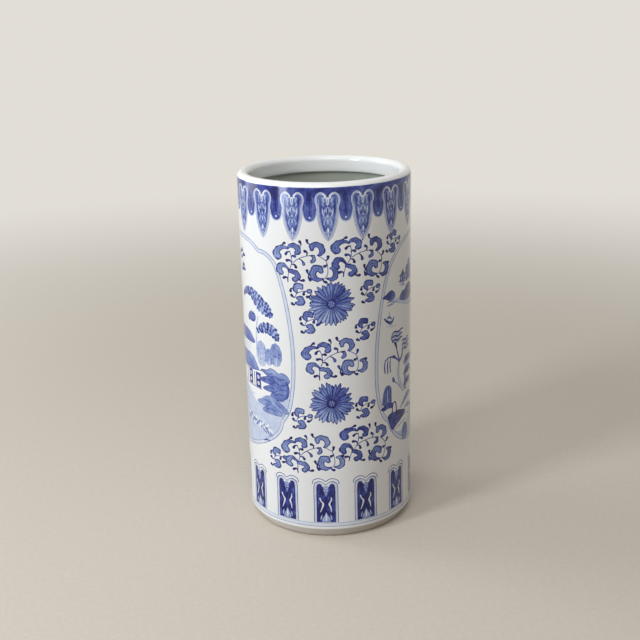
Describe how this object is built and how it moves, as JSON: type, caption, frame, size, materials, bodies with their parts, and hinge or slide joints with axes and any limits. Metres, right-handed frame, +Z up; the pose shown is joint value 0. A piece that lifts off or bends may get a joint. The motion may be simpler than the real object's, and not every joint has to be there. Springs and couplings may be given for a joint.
{
  "type": "umbrella stand",
  "caption": "Straight porcelain cylinder umbrella stand with a thick rolled lip, a closed floor and a bevelled foot, to hold umbrellas and canes upright.",
  "frame": {"origin": "centre of the foot, on the surface that the stand rests on", "axes": "+Z up along the pot's axis, -Y towards the viewer, where the flowered panel faces"},
  "size_m": [0.2172, 0.2172, 0.457],
  "materials": {
    "painted_glaze": "cobalt underglaze painting under a clear gloss glaze",
    "white_glaze": "clear gloss glaze over white porcelain",
    "inner_glaze": "thin gloss glaze, slightly green in the depth",
    "foot_glaze": "gloss glaze wiped from the resting face, which is bare biscuit"
  },
  "bodies": {
    "root": {"wall": "painted_glaze", "lip": "white_glaze", "floor_slab": "inner_glaze", "luting_coil": "inner_glaze", "foot_ring": "foot_glaze"}
  },
  "joints": []
}
